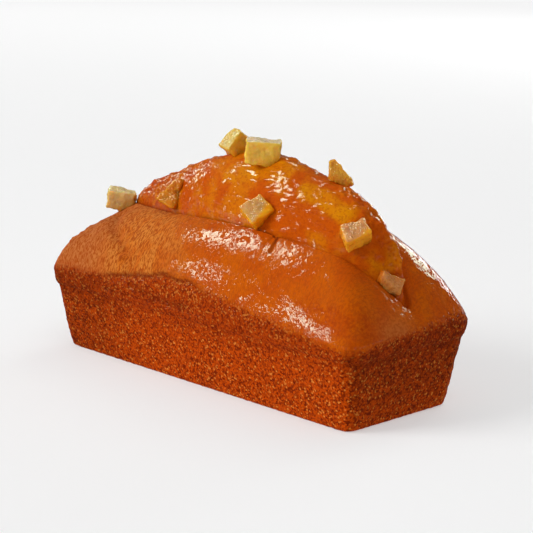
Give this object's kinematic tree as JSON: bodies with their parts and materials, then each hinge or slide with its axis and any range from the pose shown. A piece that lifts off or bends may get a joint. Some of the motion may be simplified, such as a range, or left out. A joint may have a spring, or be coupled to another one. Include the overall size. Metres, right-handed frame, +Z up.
{
  "type": "pound cake loaf",
  "caption": "Whole glazed pound cake loaf with flared tin-baked sides, folded crust flaps, a burst ridge of crumb along the top and diced candied peel on it.",
  "frame": {"origin": "middle of the flat underside, on the surface that the loaf stands on", "axes": "+X along the loaf, +Y across it, +Z up"},
  "size_m": [0.1824, 0.071, 0.1009],
  "materials": {
    "crust": "browned granular crust, wet sugar glaze on the upper half",
    "peel": "translucent candied citrus peel with a sticky gloss"
  },
  "bodies": {
    "root": {"loaf": "crust", "candied_peel_01": "peel", "candied_peel_02": "peel", "candied_peel_03": "peel", "candied_peel_04": "peel", "candied_peel_05": "peel", "candied_peel_06": "peel", "candied_peel_07": "peel", "candied_peel_08": "peel", "candied_peel_09": "peel", "candied_peel_10": "peel", "candied_peel_11": "peel"}
  },
  "joints": []
}
